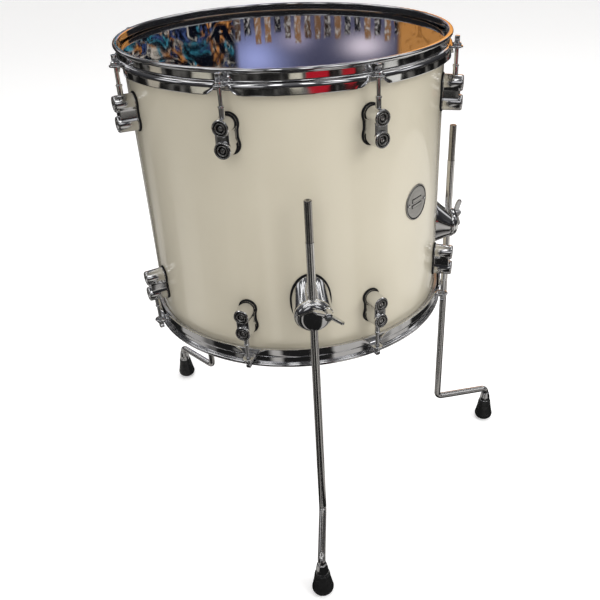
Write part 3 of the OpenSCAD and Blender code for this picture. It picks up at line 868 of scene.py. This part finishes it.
SEAT_R = SHELL_R + 2     # back of the castings that stand on rubber pads
SPLIT = 25.3             # the clamp's parting plane, from the shell surface
JAW_W, JAW_H, JAW_Z = 23.5, 21.3, -5.5
BOLT_Y, BOLT_Z = 16.5, 1           # the clamp bolt, beside the rod
ROD_BORE, BOLT_BORE = 5.27, 3.05
NUT_OUT = 33.05          # seat of the wing nut, from the shell surface
NUT_TURN = {"front": -30, "right": 90, "rear": 10}


def oval_ring(x, w, h, z, dip=0.0, segs=96):
    """An oval facing outward. x is a plane, or a function of y; dip hollows its top."""
    ring = []
    for j in range(segs):
        t = 2 * math.pi * j / segs
        y = w * math.cos(t)
        k = 1 - dip * math.exp(-(y / 8.0) ** 2) * max(math.sin(t), 0.0)
        ring.append((x(y) if callable(x) else x, y, z + h * math.sin(t) * k))
    return ring


def cut(obj, cutters):
    """Subtracts closed meshes, given in millimetres, and keeps the result as plain mesh."""
    bm = bmesh.new()
    for make in cutters:
        make(bm)
    bmesh.ops.recalc_face_normals(bm, faces=bm.faces)
    bm.transform(Matrix.Scale(0.001, 4))
    mesh = bpy.data.meshes.new("cutter")
    bm.to_mesh(mesh)
    bm.free()
    tool = bpy.data.objects.new("cutter", mesh)
    bpy.context.scene.collection.objects.link(tool)
    mod = obj.modifiers.new("cut", "BOOLEAN")
    mod.object = tool
    mod.solver = "EXACT"
    deps = bpy.context.evaluated_depsgraph_get()
    done = bpy.data.meshes.new_from_object(obj.evaluated_get(deps))
    obj.modifiers.clear()
    old = obj.data
    obj.data = done
    bpy.data.meshes.remove(old)
    bpy.data.objects.remove(tool)
    done.set_sharp_from_angle(angle=math.radians(38))
    mod = obj.modifiers.new("edges", "BEVEL")
    mod.width = 0.0003
    mod.segments = 2
    mod.limit_method = "ANGLE"
    mod.angle_limit = math.radians(38)
    mod = obj.modifiers.new("normals", "WEIGHTED_NORMAL")
    mod.keep_sharp = True


def bar(bm, m, r, z0, z1, segs=64):
    lathe(bm, [(r, z0), (r, z1)], m, segs)


def bracket_body(bm, m):
    """The casting: an oval foot that draws in to the clamp, fluted down the rod's back."""
    rings = [oval_ring(lambda y: math.sqrt(SEAT_R ** 2 - y * y), 23.2, 34.7, 0),
             oval_ring(lambda y: math.sqrt((SEAT_R + 0.5) ** 2 - y * y), 24.0, 35.5, 0)]
    x0, x1 = SHELL_R + 4.4, SHELL_R + SPLIT - 1.1
    rings.append(oval_ring(x0 - 0.6, 24.0, 35.5, 0))
    for i in range(13):
        k = i / 12
        ease = k ** 0.9
        rings.append(oval_ring(x0 + (x1 - x0) * k, 24.0 + (JAW_W - 24.0) * k,
                               35.2 + (JAW_H - 35.2) * ease, JAW_Z * ease, 0.34 * k ** 0.7))
    rings.append(oval_ring(x1 + 0.45, JAW_W - 0.25, JAW_H - 0.25, JAW_Z, 0.345))
    rings.append(oval_ring(x1 + 0.6, JAW_W - 0.9, JAW_H - 0.9, JAW_Z, 0.35))
    rings.append([(x1 + 0.6, 0, JAW_Z)])
    rings.insert(0, [(SEAT_R, 0, 0)])
    loft(bm, rings, m)


def jaw_body(bm, m):
    """The clamp's front half: a shallow bowl with a raised rim, higher where the rod passes."""
    levels = [(0.5, 0.97), (0.7, 0.99), (1.3, 1.0), (3.2, 1.0), (4.0, 0.985), (4.5, 0.955),
              (4.9, 0.94), (6.4, 0.925), (8.2, 0.89), (10.0, 0.82), (11.4, 0.72), (12.5, 0.58),
              (13.2, 0.40), (13.5, 0.2)]
    rings = [[(SHELL_R + SPLIT + 0.5, 0, JAW_Z)]]
    rings += [oval_ring(SHELL_R + SPLIT + u, JAW_W * k, JAW_H * k, JAW_Z, -0.10) for u, k in levels]
    rings.append([(SHELL_R + SPLIT + 13.55, 0, JAW_Z)])
    loft(bm, rings, m)


def wing_body(bm, m):
    """A wing nut on +X: a waisted hub and two leaf-shaped wings, thick at the root."""
    hub = rounded([(3.05, 0), (6.8, 0, 0.5), (6.8, 2, 0.6), (5.9, 3.0, 0.8), (5.4, 9.0, 2.0),
                   (5.3, 14.2, 0.8), (4.2, 15.0, 0.4), (3.05, 15.0, 0.3)], 4, closed=True)
    lathe(bm, hub, m @ OUT, 64, loop=True)
    leaf = rounded([(6.0, 4.4, 0), (6.6, 8.5, 4), (8.6, 15.5, 6), (11.2, 21.0, 3), (15.4, 21.6, 3),
                    (17.4, 17.4, 3), (15.0, 10.0, 5), (13.2, 4.4, 0)], 5, closed=True)
    cx, cy = 12.2, 14.0
    for half in (0, 180):
        turn = Matrix.Rotation(math.radians(half), 4, "X")
        rings = []
        for z, k in ((-1.75, 0.72), (-1.7, 0.86), (-1.35, 0.96), (-0.6, 1.0), (0.6, 1.0),
                     (1.35, 0.96), (1.7, 0.86), (1.75, 0.72)):
            rings.append([(cx + (x - cx) * k, 4.4 if y < 4.5 else cy + (y - cy) * k,
                           z * (1.25 - 0.02 * y)) for x, y in leaf])
        loft(bm, rings, m @ turn)


def pad_outline(t):
    """Distance to the edge of the oval rubber pad behind a bracket, at angle t."""
    return 1 / math.hypot(math.cos(t) / 26, math.sin(t) / 37.5)


def build_brackets():
    jaws, pads, bolts = bmesh.new(), bmesh.new(), bmesh.new()
    places = []
    for leg in LEGS:
        x, y, z = [v * 1000 for v in mounts[leg + "_leg_rod_end"]["pos_m"]]
        lo, hi = mm_box(leg + "_leg_bracket")
        m = at(math.degrees(math.atan2(y - AY, x - AX)), (lo[2] + hi[2]) / 2)
        places.append(m)
        rod = m @ Matrix.Translation((SHELL_R + SPLIT, 0, 0))
        bolt = m @ Matrix.Translation((SHELL_R, BOLT_Y, BOLT_Z)) @ OUT
        bm = bmesh.new()
        bracket_body(bm, m)
        casting = piece(f"{leg}_bracket_casting", bm, "drum", [CAST],
                        [f"{leg}_leg_bracket"], weighted=False)
        cut(casting, [lambda b: bar(b, rod, ROD_BORE, -60, 60),
                      lambda b: bar(b, bolt, BOLT_BORE, 0.5, 60)])
        jaw_body(jaws, m)
        bent([(0.9, SHELL_R - 0.4), (0.3, SHELL_R + 0.1), (0.0, SHELL_R + 0.6),
              (0.0, SHELL_R + 1.5), (0.5, SHELL_R + 2.0), (2.6, SHELL_R + 2.0)],
             pad_outline, 120, m, pads)
        thread = []
        for i in range(26):
            thread += [(2.95, 28 + 0.8 * i), (2.65, 28.4 + 0.8 * i)]
        lathe(bolts, [(0, 8), (2.95, 8), (2.95, 27.6)] + thread + [(2.95, 49.2), (2.2, 50), (0, 50)],
              bolt, 40)
        lathe(bolts, rounded([(0, 4.4), (5.1, 4.4, 0.4), (5.1, 8.5, 0.3), (0, 8.5)], 3), bolt, 6)
        turn = Matrix.Rotation(math.radians(NUT_TURN[leg]), 4, "X")
        bm = bmesh.new()
        wing_body(bm, m @ Matrix.Translation((SHELL_R + NUT_OUT, BOLT_Y, BOLT_Z)) @ turn)
        piece(f"{leg}_wing_nut_casting", bm, f"{leg}_wing_nut", [CAST],
              [f"{leg}_wing_nut"], sharp=50)
    jaw = piece("clamp_jaw_castings", jaws, "drum", [CAST], ["clamp_jaws"], weighted=False)
    cutters = []
    for m in places:
        rod = m @ Matrix.Translation((SHELL_R + SPLIT, 0, 0))
        bolt = m @ Matrix.Translation((SHELL_R, BOLT_Y, BOLT_Z)) @ OUT
        cutters += [lambda b, rod=rod: bar(b, rod, ROD_BORE, -60, 60),
                    lambda b, bolt=bolt: lathe(b, [(3.15, 20), (3.15, 33), (7.6, 33), (7.6, 60)],
                                               bolt, 64)]
    cut(jaw, cutters)
    piece("bracket_pads", pads, "drum", [GASKET], ["leg_bracket_gaskets"])
    piece("clamp_bolt_bars", bolts, "drum", [ZINC], ["clamp_bolts"], sharp=40)
    softened("leg_bracket_screws", "bracket_fixings", "drum", [ZINC], 0.4)
    softened("lug_screws", "lug_fixings", "drum", [ZINC], 0.3)


build_shell()
build_heads()
build_hoops()
build_lugs()
build_rods()
build_badge()
build_legs()
build_brackets()

# ---- Floor, light and camera --------------------------------------------------------------


def floor_material():
    """White to look at, but seen in metal it is a dim floor with lighter patches."""
    n = Nodes("pale_floor")
    patches = n.noise(1.5, 2.0, 0.5)
    dim = n.mix(n.range(patches, 0.50, 0.58, 0.0, 1.0), (0.010, 0.010, 0.010, 1),
                (0.16, 0.155, 0.145, 1))
    near = n.add("ShaderNodeVectorMath", operation="LENGTH")
    n.put(near.inputs[0], n.coord)
    ray = n.add("ShaderNodeVectorMath", operation="NORMALIZE")
    n.put(ray.inputs[0], n.coord)
    streak = n.noise(2.6, 1.0, 0.4, ray.outputs["Vector"])
    close = n.mix(n.range(streak, 0.48, 0.56, 0.0, 1.0), (0.012, 0.012, 0.012, 1),
                  (0.40, 0.39, 0.375, 1))
    dim = n.mix(n.range(near.outputs["Value"], 1.2, 2.2, 1.0, 0.0), dim, close)
    for x, y, r, tone in ((0.75, -2.85, 0.36, (0.55, 0.015, 0.03, 1)),
                          (1.75, -2.45, 0.22, (0.50, 0.02, 0.03, 1)),
                          (0.05, -2.95, 0.20, (0.80, 0.76, 0.62, 1)),
                          (-2.6, -1.5, 0.35, (0.75, 0.72, 0.60, 1)),
                          (2.7, -1.1, 0.30, (0.80, 0.80, 0.76, 1)),
                          (1.30, 0.10, 0.60, (0.66, 0.65, 0.62, 1)),
                          (-3.1, 0.4, 0.30, (0.60, 0.55, 0.45, 1))):
        off = n.add("ShaderNodeVectorMath", operation="DISTANCE")
        n.put(off.inputs[0], n.coord)
        off.inputs[1].default_value = (x, y, 0)
        dim = n.mix(n.range(off.outputs["Value"], r, r + 0.05, 1.0, 0.0), dim, tone)
    path = n.add("ShaderNodeLightPath")
    shade = n.mix(n.range(n.noise(0.8), 0.3, 0.7, 0.0, 1.0), (0.93, 0.93, 0.93, 1),
                  (0.95, 0.95, 0.95, 1))
    n.set(Base_Color=n.mix(path.outputs["Is Glossy Ray"], shade, dim), Roughness=0.95,
          Specular_IOR_Level=0.0, Emission_Color=(1, 1, 1, 1),
          Emission_Strength=n.math("MULTIPLY", path.outputs["Is Camera Ray"], 0.32))
    return n.mat


def build_floor():
    mesh = bpy.data.meshes.new("floor")
    s = 30
    mesh.from_pydata([(-s, -s, 0), (s, -s, 0), (s, s, 0), (-s, s, 0)], [], [(0, 1, 2, 3)])
    mesh.materials.append(floor_material())
    obj = bpy.data.objects.new("floor", mesh)
    bpy.context.scene.collection.objects.link(obj)


def area(name, place, aim, size, power):
    light = bpy.data.lights.new(name, "AREA")
    light.shape = "RECTANGLE"
    light.size = size
    light.size_y = size
    light.energy = power
    obj = bpy.data.objects.new(name, light)
    obj.location = place
    d = Vector(aim) - Vector(place)
    obj.rotation_euler = d.to_track_quat("-Z", "Y").to_euler()
    obj.visible_glossy = False
    bpy.context.scene.collection.objects.link(obj)


DEGREES = 57.29578       # in one radian
EULER = 2.718


def build_world():
    """A dim room with a few bright panels: what polished metal needs to show its shape."""
    world = bpy.data.worlds.new("studio")
    bpy.context.scene.world = world
    world.use_nodes = True
    t = world.node_tree
    t.nodes.clear()

    def add(kind, **props):
        n = t.nodes.new(kind)
        for k, v in props.items():
            setattr(n, k, v)
        return n

    def put(socket, value):
        if isinstance(value, bpy.types.NodeSocket):
            t.links.new(value, socket)
        else:
            socket.default_value = value

    def calc(op, a, b=0.0):
        n = add("ShaderNodeMath", operation=op)
        put(n.inputs[0], a)
        put(n.inputs[1], b)
        return n.outputs[0]

    def step(value, a, b):
        n = add("ShaderNodeMapRange", interpolation_type="SMOOTHSTEP")
        put(n.inputs["Value"], value)
        n.inputs["From Min"].default_value = a
        n.inputs["From Max"].default_value = b
        return n.outputs["Result"]

    def band(value, a, b, soft):
        return calc("MULTIPLY", step(value, a - soft, a + soft),
                    calc("SUBTRACT", 1.0, step(value, b - soft, b + soft)))

    def mix(fac, a, b):
        n = add("ShaderNodeMix", data_type="RGBA")
        put(n.inputs["Factor"], fac)
        put(n.inputs["A"], a)
        put(n.inputs["B"], b)
        return n.outputs["Result"]

    def noise(scale, vector, distortion=0.0):
        n = add("ShaderNodeTexNoise")
        put(n.inputs["Vector"], vector)
        n.inputs["Scale"].default_value = scale
        n.inputs["Detail"].default_value = 2.0
        n.inputs["Distortion"].default_value = distortion
        return n.outputs["Fac"]

    def spot(a, e, wide, high):
        da = calc("DIVIDE", calc("SUBTRACT", az, a), wide)
        de = calc("DIVIDE", calc("SUBTRACT", el, e), high)
        d = calc("ADD", calc("MULTIPLY", da, da), calc("MULTIPLY", de, de))
        return calc("POWER", EULER, calc("MULTIPLY", d, -1.0))

    coord = add("ShaderNodeTexCoord").outputs["Generated"]
    split = add("ShaderNodeSeparateXYZ")
    put(split.inputs[0], coord)
    x, y, z = split.outputs
    az = calc("MULTIPLY", calc("ARCTAN2", x, y), DEGREES)     # degrees right of +Y
    el = calc("MULTIPLY", calc("ARCSINE", z), DEGREES)
    room = mix(step(el, 0.0, 70.0), (0.025, 0.025, 0.028, 1), (0.15, 0.15, 0.155, 1))
    # ceiling strips and upright wall panels, all round
    strips = calc("MULTIPLY", band(calc("ABSOLUTE", calc("SINE", calc("MULTIPLY", az, 0.1222))),
                                   0.84, 1.1, 0.05), band(el, 40.0, 62.0, 3.0))
    room = mix(strips, room, (2.2, 2.2, 2.2, 1))
    walls = calc("MULTIPLY", band(calc("ABSOLUTE", calc("SINE", calc("MULTIPLY", az, 0.052))),
                                  0.88, 1.1, 0.04), band(el, 14.0, 30.0, 3.0))
    room = mix(walls, room, (0.75, 0.75, 0.77, 1))
    # what the upper head mirrors: a cool glow in the middle with things hanging in front of it
    glow = mix(step(el, 8.5, 13.5), (0.09, 0.10, 0.16, 1), (0.42, 0.46, 0.86, 1))
    glow = mix(step(az, 1.5, 6.0), glow, (0.17, 0.17, 0.29, 1))
    glow = mix(spot(1.4, 12.2, 1.6, 1.4), glow, (0.85, 0.95, 1.75, 1))
    glow = mix(spot(9.6, 11.5, 1.5, 0.8), glow, (1.7, 1.5, 1.7, 1))
    glow = mix(spot(4.4, 10.9, 1.2, 0.7), glow, (0.75, 0.68, 0.95, 1))
    strand = calc("MULTIPLY", az, 1.35)
    rand = add("ShaderNodeTexWhiteNoise", noise_dimensions="1D")
    put(rand.inputs["W"], calc("FLOOR", strand))
    part = calc("FRACT", calc("ADD", strand, calc("MULTIPLY", noise(60.0, coord), 0.35)))
    tip = calc("ADD", 10.35, calc("MULTIPLY", rand.outputs["Value"], 0.85))
    hang = calc("MULTIPLY", band(part, 0.16, 0.78, 0.06), calc("LESS_THAN", el, tip))
    paint = mix(step(rand.outputs["Value"], 0.45, 0.8), (0.015, 0.015, 0.02, 1),
                (0.50, 0.26, 0.13, 1))
    paint = mix(step(noise(260.0, coord), 0.54, 0.60), paint, (0.9, 0.85, 0.8, 1))
    glow = mix(hang, glow, paint)
    window = calc("MULTIPLY", band(az, 0.0, 12.1, 0.35), band(el, 2.0, 24.0, 4.0))
    room = mix(window, room, glow)
    # warm boards on the right of it
    grain = noise(90.0, coord, 1.5)
    wood = mix(step(el, 7.0, 13.0), (0.85, 0.36, 0.09, 1), (1.20, 0.56, 0.17, 1))
    wood = mix(calc("MULTIPLY", step(grain, 0.55, 0.62), 0.55), wood, (0.35, 0.13, 0.03, 1))
    right = calc("MULTIPLY", band(az, 12.2, 34.0, 0.25), band(el, -2.0, 26.0, 3.0))
    room = mix(right, room, wood)
    # and bright swirls on black to the left
    swirl = noise(22.0, coord, 3.5)
    tint = mix(step(noise(34.0, coord), 0.44, 0.52), (0.10, 0.55, 0.75, 1), (1.1, 0.45, 0.12, 1))
    tint = mix(step(noise(48.0, coord), 0.52, 0.56), tint, (1.1, 1.0, 0.85, 1))
    dark = mix(band(swirl, 0.50, 0.55, 0.006), (0.006, 0.008, 0.016, 1), tint)
    dark = mix(band(swirl, 0.62, 0.67, 0.006), dark, (0.10, 0.16, 0.42, 1))
    left = calc("MULTIPLY", band(az, -17.0, -0.1, 0.3), band(el, 0.0, 30.0, 4.0))
    room = mix(left, room, dark)
    path = add("ShaderNodeLightPath")
    seen = mix(path.outputs["Is Camera Ray"], room, (1.0, 1.0, 1.0, 1))
    soft = mix(path.outputs["Is Diffuse Ray"], seen, (0.47, 0.465, 0.46, 1))
    back = add("ShaderNodeBackground")
    put(back.inputs["Color"], soft)
    out = add("ShaderNodeOutputWorld")
    t.links.new(back.outputs[0], out.inputs[0])


def build_camera():
    """The photograph's viewpoint, from the camera fitted to it."""
    yaw, pitch, roll = [math.radians(a) for a in (6.786, -31.736, -1.777)]
    picture, focal, cx, cy = 600, 729.281, 335.27, 315.87    # in pixels
    fwd = Vector((math.sin(yaw) * math.cos(pitch), math.cos(yaw) * math.cos(pitch),
                  math.sin(pitch)))
    right = Vector((math.cos(yaw), -math.sin(yaw), 0))
    up = right.cross(fwd)
    r2 = right * math.cos(roll) + up * math.sin(roll)
    u2 = up * math.cos(roll) - right * math.sin(roll)
    place = Vector((AX - 62.42, AY - 978.18, HOOP_TOP + 175.24)) * 0.001
    m = Matrix((r2, u2, -fwd)).transposed().to_4x4()
    m.translation = place
    cam = bpy.data.cameras.new("camera")
    cam.sensor_width = 36
    cam.lens = focal / picture * cam.sensor_width
    cam.shift_x = (picture / 2 - cx) / picture
    cam.shift_y = (cy - picture / 2) / picture
    cam.clip_start = 0.01
    obj = bpy.data.objects.new("camera", cam)
    obj.matrix_world = m
    bpy.context.scene.collection.objects.link(obj)
    bpy.context.scene.camera = obj


bpy.context.scene.view_settings.view_transform = "Standard"
build_floor()
build_world()
build_camera()
centre = (AX / 1000, AY / 1000, 0.45)
area("key", (1.9, -1.5, 1.9), centre, 1.5, 34)
area("fill", (-0.9, -2.1, 1.8), centre, 1.3, 13)
area("top", (0.2, 0.6, 2.6), centre, 1.8, 24)
